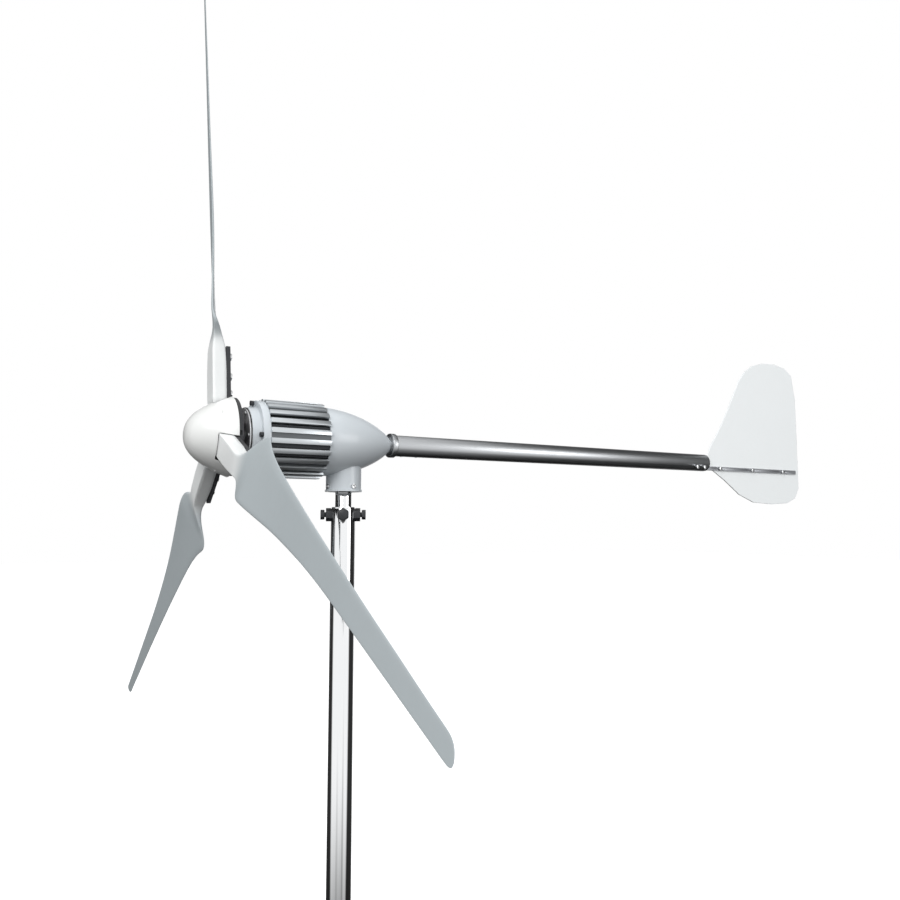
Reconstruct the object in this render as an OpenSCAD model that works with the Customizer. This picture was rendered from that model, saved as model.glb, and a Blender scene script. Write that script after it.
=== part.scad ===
// Small horizontal-axis wind turbine on its mast.
// Origin: centre of the mast tube's lower end. +Z up. The rotor faces -X and the tail points to +X.
// Parts of the rotor and nacelle are drawn about the shaft axis and then lifted to shaft_height.

/* [Rotor] */
// Radius from the shaft axis to a blade tip
rotor_r = 970; // [900:1:1000]
// How far the blades are turned from straight up, seen from the side at rest
rotor_phase = -8; // [-60:1:60]
// Blade pitch at the root
root_pitch = 17; // [12:0.5:22]
// Blade pitch from the middle of the blade outwards
tip_pitch = 9; // [4:0.5:12]
// Width of a blade's square root block
root_w = 44; // [40:1:48]
// Thickness of a blade's square root block
root_t = 26; // [20:1:28]
// Radius of the hub plate's round middle
hub_r = 74; // [70:1:76]
// Thickness of the hub disc and of the arms in front of it
hub_t = 8; // [6:0.5:10]
// Largest radius of the spinner
spinner_r = 76.5; // [74:0.5:82]

/* [Generator] */
// Radius over the cooling fins
fin_r = 75.5; // [74:0.5:80]
// Length of the finned housing
housing_len = 118; // [110:1:124]
// Number of cooling fins
fin_count = 24; // [24:12:36]
// Thickness of a cooling fin
rib_t = 9.6; // [4:0.2:10]

/* [Tail] */
// Outer radius of the tail boom
boom_r = 22.25; // [21:0.25:24]
// Distance from the mast axis to the boom's far end
boom_end = 1038; // [900:1:1100]
// Length of the tail fin
fin_len = 395; // [300:1:420]

/* [Mast] */
// Outer radius of the mast tube
mast_r = 24.15; // [24:0.05:26]
// Wall thickness of the mast tube
mast_wall = 3; // [2.6:0.1:3.2]
// Height of the shaft axis above the mast tube's lower end
shaft_height = 1100; // [1080:1:1300]

/* [Hidden] */
$fn = 64;

// Places along the shaft axis, measured from the mast axis
hub_back = -226;
disc_front = hub_back - hub_t;
hub_front = disc_front - hub_t;
root_front = hub_front - root_t;
nose_x = -316;
housing_x0 = -174;
housing_x1 = housing_x0 + housing_len;
flange_x0 = -188;
cover_x0 = -205;
cap_x0 = -210;
cone_x1 = 98.5;

// Heights above the lower end of the mast
mast_top = shaft_height - 133;
bolt_z = shaft_height - 145;
boss_bottom = shaft_height - 99;
boss_top = shaft_height - 38;

// Bolts
blade_bolt_r = 4;
blade_bolt_radii = [84, 118, 158];
arm_len = 172;
arm_w = 42;
bolt_turn = -22.8;
ream_depth = 77;
cover_screw_pcd_r = 66;

housing_bore = 60;
shaft_bearings = [[-199, 12.5, 26], [-70, 10, 23.5]];
shaft_bearing_w = 14;
yaw_bearing_z = [shaft_height - 92, shaft_height - 54];
yaw_bearing_w = 12;
spindle_r = 14;
cartridge_r = 26;

// ---------- shared shapes ----------

module at_shaft() { translate([0, 0, shaft_height]) children(); }

// A round bar or tube along X from x0 to x1
module bar_x(x0, x1, r, bore = 0) {
  translate([x0, 0, 0]) rotate([0, 90, 0]) difference() {
    cylinder(h = x1 - x0, r = r);
    if (bore > 0) translate([0, 0, -1]) cylinder(h = x1 - x0 + 2, r = bore);
  }
}

// A round bar or tube along Z from z0 to z1
module bar_z(z0, z1, r, bore = 0) {
  translate([0, 0, z0]) difference() {
    cylinder(h = z1 - z0, r = r);
    if (bore > 0) translate([0, 0, -1]) cylinder(h = z1 - z0 + 2, r = bore);
  }
}

// A body turned about X from [x, r] points
module turned_x(points) {
  rotate([0, 90, 0]) rotate_extrude() polygon([for (p = points) [p[1], p[0]]]);
}

// Copies turned about the shaft axis
module ring_x(n, first = 0) {
  for (i = [0 : n - 1]) rotate([first + i * 360 / n, 0, 0]) children();
}

// Places its children at each bolt of each blade
module at_blade_bolts() {
  ring_x(3, rotor_phase) for (r = blade_bolt_radii) translate([0, 0, r]) children();
}

// Hexagonal prism along X, af across its flats
module hex_x(x0, x1, af) {
  translate([x0, 0, 0]) rotate([0, 90, 0]) cylinder(h = x1 - x0, r = af / sqrt(3), $fn = 6);
}

// Balls of a bearing, on a circle about Z
module balls(n, pitch_r, r) {
  for (i = [0 : n - 1]) rotate([0, 0, i * 360 / n]) translate([pitch_r, 0, 0]) sphere(r = r, $fn = 24);
}

// ---------- mast ----------

module mast_tube() {
  color("gainsboro") difference() {
    bar_z(0, mast_top, mast_r, mast_r - mast_wall);
    bar_z(mast_top - ream_depth, mast_top + 1, spindle_plug_r() + 0.1);
    at_mast_bolts() rotate([0, 90, 0]) cylinder(h = 40, r = 5.1);
  }
}

function spindle_plug_r() = mast_r - mast_wall + 0.3;

module at_mast_bolts() {
  for (i = [0 : 3]) translate([0, 0, bolt_z]) rotate([0, 0, bolt_turn + i * 90]) children();
}

module mast_weld_nuts() {
  color("dimgray") difference() {
    at_mast_bolts() hex_x(mast_r - 3, mast_r + 10, 23);
    bar_z(bolt_z - 20, bolt_z + 20, mast_r);
    at_mast_bolts() bar_x(mast_r - 5, mast_r + 11, 5.1);
  }
}

module mast_bolts() {
  color("black") at_mast_bolts() {
    bar_x(12, 38.5, 5);
    bar_x(37.2, 38.5, 9.4);
    hex_x(38.5, 45, 17);
  }
}

// Fixed spindle: a plug in the mast, a flange on its rim and the journal that the nacelle turns on
module yaw_spindle() {
  color("silver") difference() {
    union() {
      bar_z(mast_top - ream_depth + 2, mast_top, spindle_plug_r());
      bar_z(mast_top, mast_top + 3, mast_r - 1);
      bar_z(mast_top, shaft_height - 40, spindle_r);
      bar_z(mast_top, shaft_height - 100.5, spindle_r + 2.5);
      bar_z(shaft_height - 40, shaft_height - 2, 9);
    }
    bar_z(mast_top - ream_depth, shaft_height, 5);
    at_mast_bolts() bar_x(11, 30, 5.1);
  }
}

module yaw_bearing_inner_races() {
  color("lightgray") for (z = yaw_bearing_z) difference() {
    bar_z(z, z + yaw_bearing_w, spindle_r + 4.5, spindle_r + 0.02);
    translate([0, 0, z + yaw_bearing_w / 2]) rotate_extrude() translate([20.1, 0]) circle(r = 3.2);
  }
}

module yaw_nut() {
  color("dimgray") difference() {
    translate([0, 0, shaft_height - 39.8]) cylinder(h = 7, r = 30 / sqrt(3), $fn = 6);
    bar_z(shaft_height - 42, shaft_height - 30, 9.1);
  }
}

module slip_ring_drum() {
  color("ivory") bar_z(shaft_height - 31, shaft_height - 5, 12, 9.1);
}

module slip_rings() {
  color("peru") for (i = [0 : 2]) bar_z(shaft_height - 29 + i * 8, shaft_height - 24 + i * 8, 14.5, 12.05);
}

// ---------- nacelle: covers and generator housing ----------

// Radius of the rear cover at x: a long blunt curve
cone_r0 = 69;
cone_len = 166;
function cone_r(x) = cone_r0 * pow(1 - pow((x - housing_x1 + 1) / cone_len, 1.9), 1 / 1.4);
cone_steps = 14;
cone_xs = [for (i = [0 : cone_steps]) housing_x1 + i * (cone_x1 - housing_x1) / cone_steps];
cone_wall = 3.5;

// Rear cover: a bullet-shaped casting with the yaw boss under it and an eye for the boom spigot
module rear_cover() {
  color("whitesmoke") difference() {
    union() {
      at_shaft() turned_x(concat([[housing_x1, 0]], [for (x = cone_xs) [x, cone_r(x)]], [[cone_x1, 0]]));
      bar_z(boss_bottom, boss_top, 35.5);
      bar_z(boss_bottom, boss_bottom + 4, 37);
    }
    at_shaft() difference() {
      turned_x(concat(
        [[housing_x1 - 1, 0], [housing_x1 - 1, cone_r0 - cone_wall]],
        [for (x = cone_xs) if (x > housing_x1 && x < 70) [x, cone_r(x) - cone_wall]],
        [[70, 31], [70, 0]]
      ));
      translate([0, 0, boss_top - shaft_height - 100]) cylinder(h = 100, r = 35.5);
    }
    bar_z(boss_bottom - 1, boss_top + 1, 30.05);
    at_shaft() bar_x(60, 110, 15.05);
    at_yaw_screws() bar_x(29, 40, 3.05);
    at_shaft() at_rear_screws() bar_x(housing_x1 - 1, housing_x1 + 13, 2.55);
    at_shaft() bar_x(housing_x1 - 1, housing_x1 + 8, 63.1);
  }
}

module at_yaw_screws() {
  for (i = [0 : 3]) translate([0, 0, shaft_height - 89]) rotate([0, 0, -80 + i * 90]) children();
}

module yaw_cartridge() {
  color("silver") difference() {
    bar_z(boss_bottom + 1, boss_top, 30);
    bar_z(yaw_bearing_z[0], boss_top + 1, cartridge_r);
    bar_z(boss_bottom, boss_top, 21);
    at_yaw_screws() bar_x(28.5, 31, 3.05);
  }
}

module yaw_bearing_outer_races() {
  color("lightgray") for (z = yaw_bearing_z) difference() {
    bar_z(z + 0.05, z + yaw_bearing_w, cartridge_r - 0.02, 21.7);
    translate([0, 0, z + yaw_bearing_w / 2]) rotate_extrude() translate([20.1, 0]) circle(r = 3.2);
  }
}

module yaw_bearing_balls() {
  color("white") for (z = yaw_bearing_z) translate([0, 0, z + yaw_bearing_w / 2]) balls(12, 20.1, 3.1);
}

module yaw_seal() {
  color("black") difference() {
    bar_z(boss_bottom + 1.2, boss_bottom + 6.5, 20.9, 17.5);
    bar_z(boss_bottom + 3, boss_bottom + 5, 19.4);
  }
}

module yaw_screws() {
  color("dimgray") at_yaw_screws() difference() {
    union() {
      bar_x(29, 36, 3);
      bar_x(35.5, 38.5, 5);
    }
    hex_x(36.5, 39, 5);
  }
}

// Extruded aluminium housing with broad cooling fins all round and screw ribs low in eight of the grooves
groove_r = 66.5;
fin_root_r = 63;
function rib_point(i, side, r) = let (a = (i + 0.5) * 360 / fin_count, s = side * rib_t / 2)
  [r * cos(a) - s * sin(a), r * sin(a) + s * cos(a)];
function gap_floor(i) = i % 3 == 0 ? groove_r + 4 : groove_r;

module finned_housing() {
  color("darkgray") at_shaft() difference() {
    translate([housing_x0, 0, 0]) rotate([90, 0, 90]) linear_extrude(housing_len) polygon([
      for (i = [0:fin_count - 1]) each [
        rib_point(i, -1, gap_floor(i)), rib_point(i, -1, fin_r), rib_point(i, 1, fin_r),
        rib_point(i, 1, gap_floor(i + 1))
      ]
    ]);
    bar_x(housing_x0 - 1, housing_x1 + 1, housing_bore);
    at_cover_screws() bar_x(housing_x0 - 1, housing_x0 + 18, 2.55);
    at_rear_screws() bar_x(housing_x1 - 18, housing_x1 + 1, 2.55);
  }
}

module at_cover_screws() { ring_x(4) translate([0, 0, cover_screw_pcd_r + 1]) children(); }
module at_rear_screws() { ring_x(4, 45) translate([0, 0, 63.4]) children(); }

// Front cover: a stepped casting that closes the housing and carries the front bearing
module front_cover() {
  color("gainsboro") at_shaft() difference() {
    turned_x([
      [cover_x0, 0], [cover_x0, 57], [cover_x0 + 1, 58], [flange_x0 - 1, 59], [flange_x0, 60], [flange_x0, 71],
      [flange_x0 + 1, 72], [housing_x0, 72], [housing_x0, 59.9], [housing_x0 + 7, 59.9], [housing_x0 + 7, 0]
    ]);
    bar_x(cover_x0 - 1, housing_x0 + 9, 22.4);
    bar_x(-201, housing_x0 + 9, 26);
    bar_x(flange_x0 + 3, housing_x0 + 9, 50);
    at_cover_screws() bar_x(flange_x0 - 2, housing_x0 + 9, 3.1);
    at_cap_screws() bar_x(cover_x0 - 1, cover_x0 + 12, 2.05);
  }
}

module front_cover_screws() {
  color("black") at_shaft() at_cover_screws() difference() {
    union() {
      bar_x(flange_x0, housing_x0 + 16, 2.5);
      bar_x(flange_x0 - 6.5, flange_x0, 4.9);
    }
    hex_x(flange_x0 - 8, flange_x0 - 3, 5);
  }
}

module at_cap_screws() { ring_x(6, 30) translate([0, 0, 50]) children(); }

// Dark gasket whose edge shows as a line between the bearing cap and the front cover
module cap_gasket() {
  color("black") at_shaft() difference() {
    bar_x(cover_x0 - 2, cover_x0, 57.4, 30);
    at_cap_screws() bar_x(cover_x0 - 3, cover_x0 + 1, 2.3);
  }
}

module bearing_cap() {
  color("silver") at_shaft() difference() {
    turned_x([
      [cap_x0, 0], [cap_x0, 55.5], [cap_x0 + 1, 56.5], [cover_x0 - 2, 56.5], [cover_x0 - 2, 22.3], [-203, 22.3],
      [-203, 0]
    ]);
    bar_x(-220, -190, 17.2);
    at_cap_screws() bar_x(cap_x0 - 1, cover_x0, 2.05);
  }
}

module cap_screws() {
  color("dimgray") at_shaft() at_cap_screws() {
    bar_x(cap_x0, cover_x0 + 10, 2);
    bar_x(cap_x0 - 2.2, cap_x0, 3.8);
  }
}

module shaft_seal() {
  color("black") at_shaft() turned_x([
    [cap_x0, 12.6], [cap_x0, 17.1], [-203.5, 17.1], [-203.5, 14.5], [cap_x0 + 1.5, 14.5], [cap_x0 + 1.5, 12.6]
  ]);
}

module rear_plate() {
  color("gray") at_shaft() difference() {
    turned_x([
      [housing_x1 - 14, 0], [housing_x1 - 14, 31], [housing_x1 - 5, 31], [housing_x1 - 5, 59.9],
      [housing_x1, 59.9], [housing_x1, 63], [housing_x1 + 5, 63], [housing_x1 + 5, 0]
    ]);
    bar_x(housing_x1 - 15, housing_x1 + 1, 23.5);
    ring_x(6, 15) translate([0, 0, 48]) bar_x(housing_x1 - 6, housing_x1 + 6, 5);
    at_rear_screws() bar_x(housing_x1 - 6, housing_x1 + 6, 2.6);
  }
}

module rear_cover_screws() {
  color("dimgray") at_shaft() at_rear_screws() bar_x(housing_x1 - 17, housing_x1 + 12, 2.5);
}

// ---------- nacelle: electrical parts ----------

stator_x = [-146, -94];
slot_count = 24;

module stator_core() {
  color("slategray") at_shaft() difference() {
    bar_x(stator_x[0], stator_x[1], housing_bore - 0.1, 37);
    ring_x(slot_count) translate([stator_x[0] - 1, -2.2, 39]) cube([stator_x[1] - stator_x[0] + 2, 4.4, 13]);
    ring_x(slot_count) translate([stator_x[0] - 1, -0.9, 30]) cube([stator_x[1] - stator_x[0] + 2, 1.8, 10]);
  }
}

module stator_windings() {
  color("peru") at_shaft() {
    ring_x(slot_count) translate([stator_x[0] - 2, -2, 39.5]) cube([stator_x[1] - stator_x[0] + 4, 4, 12]);
    bar_x(stator_x[0] - 14, stator_x[0] - 1, 52, 39.5);
    bar_x(stator_x[1] + 1, stator_x[1] + 12, 52, 39.5);
  }
}

module shaft_bearing_outer_races() {
  color("lightgray") at_shaft() for (b = shaft_bearings) difference() {
    bar_x(b[0], b[0] + shaft_bearing_w, b[2] - 0.02, (b[1] + b[2]) / 2 + 2);
    translate([b[0] + shaft_bearing_w / 2, 0, 0]) rotate([0, 90, 0])
      rotate_extrude() translate([(b[1] + b[2]) / 2, 0]) circle(r = 3.9);
  }
}

module shaft_bearing_balls() {
  color("white") at_shaft() for (b = shaft_bearings)
    translate([b[0] + shaft_bearing_w / 2, 0, 0]) rotate([0, 90, 0]) balls(8, (b[1] + b[2]) / 2, 3.8);
}

// Brush holder: an insulating arm from the rear plate to the slip rings
module brush_holder() {
  color("dimgray") difference() {
    union() {
      translate([-38, -9, shaft_height - 31]) cube([20, 18, 26]);
      translate([-50.8, -6, shaft_height - 24]) cube([14, 12, 12]);
    }
    for (i = [0 : 2]) translate([-39.5, -3.1, shaft_height - 29.1 + i * 8]) cube([30, 6.2, 5.2]);
  }
}

module brushes() {
  color("black") for (i = [0 : 2]) translate([-26, -3, shaft_height - 29 + i * 8]) cube([11.3, 6, 5]);
}

module brush_springs() {
  color("silver") for (i = [0 : 2]) translate([0, 0, shaft_height - 26.5 + i * 8])
    for (k = [0 : 3]) bar_x(-36.5 + k * 2.6, -35.4 + k * 2.6, 2.3, 1.3);
}

// Three insulated leads from the windings, through a hole in the rear plate, to the brush holder
lead_r = 1.5;
module phase_leads() {
  color("firebrick") for (i = [0 : 2]) translate([0, 9.2 + i * 3.2, shaft_height - 46.4]) {
    bar_x(stator_x[1] + 12.1, -40, lead_r);
    translate([-40, 0, 0]) sphere(r = lead_r, $fn = 24);
    translate([-40, 0, 0]) cylinder(h = 24, r = lead_r);
  }
}

// ---------- nacelle: tail ----------

// Spigot: held in the rear cover's eye by a nut inside, with a plug that fills the boom's mouth
module boom_spigot() {
  color("silver") at_shaft() difference() {
    union() {
      bar_x(52, 101, 15);
      bar_x(99, 190, boom_r - 2.6);
    }
    boom_screw_holes(2.6);
  }
}

module spigot_nut() {
  color("dimgray") at_shaft() difference() {
    hex_x(58, 69.9, 46);
    bar_x(50, 80, 15.05);
  }
}

module boom_screw_holes(r) {
  for (x = [130, 165]) translate([x, 0, 0]) rotate([180, 0, 0]) cylinder(h = boom_r + 2, r = r);
}

module tail_boom() {
  color("darkgray") at_shaft() difference() {
    bar_x(101.5, boom_end, boom_r, boom_r - 2.5);
    boom_screw_holes(2.6);
    translate([boom_end - 61, -5.2, -20]) cube([70, 10.4, 12.2]);
    at_fin_bolts([boom_end - 45, boom_end - 18]) cylinder(h = 60, r = 3.1, center = true);
  }
}

module boom_collar() {
  color("gray") at_shaft() turned_x([
    [100.5, 22.4], [100.5, 24.4], [101.5, 25.4], [111.5, 25.4], [112.5, 24.4], [112.5, 22.4]
  ]);
}

module boom_screws() {
  color("dimgray") at_shaft() for (x = [130, 165]) translate([x, 0, -boom_r - 0.6]) difference() {
    cylinder(h = 16, r = 2.5);
    translate([0, 0, -1]) cylinder(h = 3, r = 1.5, $fn = 6);
  }
}

module boom_end_plug() {
  color("black") at_shaft() difference() {
    union() {
      bar_x(boom_end - 12, boom_end + 0.1, boom_r - 2.6);
      bar_x(boom_end + 0.1, boom_end + 3, boom_r);
    }
    translate([boom_end - 20, -5.3, -30]) cube([30, 10.6, 24]);
  }
}

// Flat bars that hold the fin, one on each side, let into a slot in the boom
bar_h = 11;
bar_z0 = -19;
bar_t = 3;
fin_t = 4;
fin_x0 = boom_end + 6;
fin_x1 = boom_end + fin_len;

module at_fin_bolts(xs) {
  for (x = xs) translate([x, 0, bar_z0 + bar_h / 2]) rotate([90, 0, 0]) children();
}

fin_bolt_xs = [boom_end - 45, boom_end - 18, boom_end + 60, boom_end + 190, boom_end + 320];

module fin_bar(side) {
  color("gray") at_shaft() difference() {
    translate([boom_end - 60, side > 0 ? fin_t / 2 + 0.05 : -fin_t / 2 - bar_t - 0.05, bar_z0])
      cube([fin_len + 45, bar_t, bar_h]);
    at_fin_bolts(fin_bolt_xs) cylinder(h = 60, r = 3.1, center = true);
  }
}

module fin_bar_left() { fin_bar(-1); }
module fin_bar_right() { fin_bar(1); }

// Tail fin: a sheet with a tall swept upper lobe and a low lobe under the bar
fin_top = [
  [0, 0], [24, 48], [58, 92], [86, 135], [117, 187], [145, 236], [168, 262], [202, 285], [248, 297], [300, 300],
  [345, 292], [375, 272]
];
fin_bottom = [[389, -60], [372, -88], [336, -103], [270, -107], [190, -103], [132, -82], [76, -45], [30, -19]];

module tail_fin() {
  color("white") at_shaft() difference() {
    translate([0, fin_t / 2, 0]) rotate([90, 0, 0]) linear_extrude(fin_t)
      translate([fin_x0, 0]) polygon(concat(fin_top, [[fin_len - 6, 200], [fin_len - 6, -20]], fin_bottom));
    at_fin_bolts(fin_bolt_xs) cylinder(h = 60, r = 3.1, center = true);
  }
}

function bolt_reach(x) = x < boom_end ? boom_r - 1.5 : fin_t / 2 + bar_t + 0.1;

module fin_bolts() {
  color("silver") at_shaft() for (x = fin_bolt_xs) translate([x, 0, bar_z0 + bar_h / 2]) {
    reach = bolt_reach(x);
    rotate([90, 0, 0]) translate([0, 0, -reach - 7]) cylinder(h = 2 * reach + 7, r = 3);
    rotate([90, 0, 0]) translate([0, 0, reach]) cylinder(h = 4, r = 10 / sqrt(3), $fn = 6);
  }
}

module fin_nuts() {
  color("silver") at_shaft() for (x = fin_bolt_xs) translate([x, 0, bar_z0 + bar_h / 2])
    rotate([90, 0, 0]) translate([0, 0, -bolt_reach(x) - 5]) difference() {
      cylinder(h = 5, r = 10 / sqrt(3), $fn = 6);
      translate([0, 0, -1]) cylinder(h = 7, r = 3.05);
    }
}

// ---------- rotor ----------

module main_shaft() {
  color("silver") at_shaft() turned_x([
    [hub_front - 18, 0], [hub_front - 18, 7], [hub_front - 17, 8], [hub_front + 0.1, 8], [hub_front + 0.1, 10],
    [-212, 10], [-212, 12.48], [-184.5, 12.48], [-184.5, 15], [-72, 15], [-72, 9.98], [housing_x1 - 0.5, 9.98],
    [housing_x1 - 0.5, 0]
  ]);
}

module shaft_bearing_inner_races() {
  color("lightgray") at_shaft() for (b = shaft_bearings) difference() {
    bar_x(b[0], b[0] + shaft_bearing_w, (b[1] + b[2]) / 2 - 2, b[1]);
    translate([b[0] + shaft_bearing_w / 2, 0, 0]) rotate([0, 90, 0])
      rotate_extrude() translate([(b[1] + b[2]) / 2, 0]) circle(r = 3.9);
  }
}

module magnet_rotor() {
  color("dimgray") at_shaft() difference() {
    bar_x(stator_x[0] - 2, stator_x[1] + 2, 29.5, 15.02);
    ring_x(6, 30) translate([0, 0, 22]) bar_x(stator_x[0] - 4, stator_x[1] + 4, 3.5);
  }
}

magnet_count = 10;

module magnets() {
  color("darkslategray") at_shaft() ring_x(magnet_count) intersection() {
    bar_x(stator_x[0], stator_x[1], 35.2, 29.52);
    translate([stator_x[0], -8.5, 24]) cube([stator_x[1] - stator_x[0], 17, 14]);
  }
}

// Hub: a round steel disc with a three-armed plate welded on its front, and a boss against the shaft's shoulder
module hub_plate() {
  color("#26282b") at_shaft() difference() {
    union() {
      bar_x(disc_front, hub_back, hub_r);
      bar_x(hub_back, hub_back + 13.5, 27);
      bar_x(hub_front, disc_front + 1, 50);
      ring_x(3, rotor_phase) translate([hub_front, -arm_w / 2, 30]) cube([hub_t, arm_w, arm_len - 30]);
    }
    bar_x(hub_front - 1, hub_back + 15, 10.02);
    at_blade_bolts() bar_x(hub_front - 1, disc_front + 1, blade_bolt_r + 0.3);
    at_spinner_screws() bar_x(hub_front - 1, hub_back + 1, 2.3);
  }
}

module hub_washer() {
  color("silver") at_shaft() bar_x(hub_front - 2.6, hub_front, 17, 8.1);
}

module hub_nut() {
  color("silver") at_shaft() difference() {
    hex_x(hub_front - 14, hub_front - 2.6, 24);
    bar_x(hub_front - 20, hub_front, 8.05);
  }
}

// Blunt nose curve: radius grows with a power of the distance from the nose
spinner_power = 0.41;
function spinner_r_at(s) = spinner_r * pow(s, spinner_power);
spinner_steps = 14;
spinner_s = [for (i = [0 : spinner_steps]) pow(i / spinner_steps, 2)];
spinner_len = disc_front - nose_x - 0.5;
notch_lead_gap = 8;
notch_trail_gap = 1.5;
spinner_wall = 2.5;

module at_spinner_screws() { ring_x(3, rotor_phase + 60) translate([0, 0, 62]) children(); }

// Spinner: a moulded dome with three notches for the blade roots and three screw pillars inside
module spinner() {
  color("white") at_shaft() difference() {
    union() {
      difference() {
        turned_x(concat(
          [for (s = spinner_s) [nose_x + s * spinner_len, spinner_r_at(s)]], [[nose_x + spinner_len, 0]]
        ));
        turned_x(concat(
          [[nose_x + 4, 0]],
          [for (s = spinner_s) if (s > 0.02) [nose_x + 4 + s * spinner_len, spinner_r_at(s) - spinner_wall - 0.6]],
          [[nose_x + spinner_len + 5, 0]]
        ));
      }
      at_spinner_screws() bar_x(-262, disc_front - 0.5, 5.5);
    }
    ring_x(3, rotor_phase) translate([root_front - 3, -root_w / 2 - notch_lead_gap, 30])
      cube([60, root_w + notch_lead_gap + notch_trail_gap, 70]);
    at_spinner_screws() bar_x(-250, disc_front + 1, 2.05);
  }
}

module spinner_screws() {
  color("black") at_shaft() at_spinner_screws() {
    bar_x(-249, hub_back, 2);
    bar_x(hub_back, hub_back + 3, 4.2);
  }
}

// Distance from the pitch axis to the leading and trailing edge at radius r
function lead(r) = lookup(r, [
  [180, root_w / 2], [192, 23], [203, 34], [213, 44.5], [225, 45], [407, 26], [582, 12.5], [rotor_r - 10, 12.5],
  [rotor_r - 4, 11], [rotor_r, 7.5]
]);
function trail(r) = lookup(r, [
  [180, root_w / 2], [194, 27], [222, 58], [245, 78], [258, 78.5], [275, 71], [310, 60.5], [407, 50.5],
  [533, 39], [727, 24.5], [rotor_r - 39, 12.8], [rotor_r - 27, 11], [rotor_r - 14, 5], [rotor_r, -4]
]);
// Half thickness, pitch, and the place of the pitch axis: the blade leans forward towards its tip
function half_thick(r) = lookup(r, [
  [180, root_t / 2 - 1.5], [225, 8.5], [258, 7.6], [407, 5.6], [727, 3], [rotor_r - 15, 1.6], [rotor_r, 0.8]
]);
function pitch(r) = lookup(r, [[180, 0], [230, root_pitch], [440, tip_pitch + 1], [rotor_r, tip_pitch]]);
function pitch_axis_x(r) = lookup(r, [
  [180, root_front + root_t / 2], [240, -260], [440, -260.5], [rotor_r, -273.5]
]);

// One blade section as points around its outline: u runs from the leading edge (0) to the trailing edge (1)
section_u = [0, 0.02, 0.08, 0.2, 0.38, 0.58, 0.78, 0.93, 1];
function foil(u) =
  2.6 * (0.2969 * sqrt(u) - 0.126 * u - 0.3516 * u * u + 0.2843 * pow(u, 3) - 0.1015 * pow(u, 4));
function blunt(r) = max(0, 1 - max(0, r - 180) / 70);
function section(r) =
  let (
    mid = (lead(r) - trail(r)) / 2, half = (lead(r) + trail(r)) / 2, t = half_thick(r), b = blunt(r),
    y = function (u) -(mid + half * (1 - 2 * u)),
    h = function (u) t * ((1 - b) * foil(u) / 0.78 + b * (u <= 0 || u >= 1 ? 0.85 : 1)),
    n = len(section_u)
  )
  concat(
    [for (i = [0 : n - 1]) [y(section_u[i]), (1.25 - 0.25 * b) * h(section_u[i])]],
    [for (i = [n - 1 : -1 : 0]) [y(section_u[i]), -(0.75 + 0.25 * b) * h(section_u[i]) - 0.25]]
  );

function placed(r, p) = let (a = pitch(r)) [
  pitch_axis_x(r) + p[1] * cos(a) + p[0] * sin(a), p[0] * cos(a) - p[1] * sin(a), r
];

blade_rs = [
  180, 194, 203, 213, 225, 240, 258, 280, 310, 355, 407, 470, 533, 630, 727, 830, rotor_r - 39, rotor_r - 27,
  rotor_r - 20, rotor_r - 14, rotor_r - 7, rotor_r - 3, rotor_r
];

module blade_loft() {
  n = 2 * len(section_u);
  m = len(blade_rs);
  polyhedron(
    points = [for (r = blade_rs) for (p = section(r)) placed(r, p)],
    faces = concat(
      [[for (i = [0 : n - 1]) i]],
      [for (k = [0 : m - 2]) for (i = [0 : n - 1])
        [k * n + i, (k + 1) * n + i, (k + 1) * n + (i + 1) % n]],
      [for (k = [0 : m - 2]) for (i = [0 : n - 1])
        [k * n + i, (k + 1) * n + (i + 1) % n, k * n + (i + 1) % n]],
      [[for (i = [n - 1 : -1 : 0]) (m - 1) * n + i]]
    )
  );
}

module blade(i) {
  color("#b4bcc0") at_shaft() rotate([rotor_phase + i * 120, 0, 0]) difference() {
    union() {
      blade_loft();
      translate([root_front, -root_w / 2, 56]) cube([root_t - 0.05, root_w, 128]);
    }
    for (r = blade_bolt_radii) translate([0, 0, r]) bar_x(root_front + 4, hub_front + 1, 6.05);
  }
}

module blade_1() { blade(0); }
module blade_2() { blade(1); }
module blade_3() { blade(2); }

module blade_inserts() {
  color("goldenrod") at_shaft() at_blade_bolts() bar_x(root_front + 4.2, hub_front - 0.1, 6, blade_bolt_r + 0.05);
}

module blade_bolts() {
  color("silver") at_shaft() at_blade_bolts() {
    bar_x(root_front + 6, disc_front + 1.6, blade_bolt_r);
    hex_x(disc_front + 1.6, disc_front + 7, 13);
  }
}

module blade_washers() {
  color("silver") at_shaft() at_blade_bolts() bar_x(disc_front, disc_front + 1.6, 8, blade_bolt_r + 0.2);
}

mast_tube();
mast_weld_nuts();
mast_bolts();
yaw_spindle();
yaw_bearing_inner_races();
yaw_nut();
slip_ring_drum();
slip_rings();
rear_cover();
yaw_cartridge();
yaw_bearing_outer_races();
yaw_bearing_balls();
yaw_seal();
yaw_screws();
finned_housing();
front_cover();
front_cover_screws();
cap_gasket();
bearing_cap();
cap_screws();
shaft_seal();
rear_plate();
rear_cover_screws();
stator_core();
stator_windings();
shaft_bearing_outer_races();
shaft_bearing_balls();
brush_holder();
brushes();
brush_springs();
phase_leads();
boom_spigot();
spigot_nut();
tail_boom();
boom_collar();
boom_screws();
boom_end_plug();
fin_bar_left();
fin_bar_right();
tail_fin();
fin_bolts();
fin_nuts();
main_shaft();
shaft_bearing_inner_races();
magnet_rotor();
magnets();
hub_plate();
hub_washer();
hub_nut();
spinner();
spinner_screws();
blade_1();
blade_2();
blade_3();
blade_inserts();
blade_bolts();
blade_washers();
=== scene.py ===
import math

import bpy
import bmesh
from mathutils import Matrix, Vector


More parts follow.
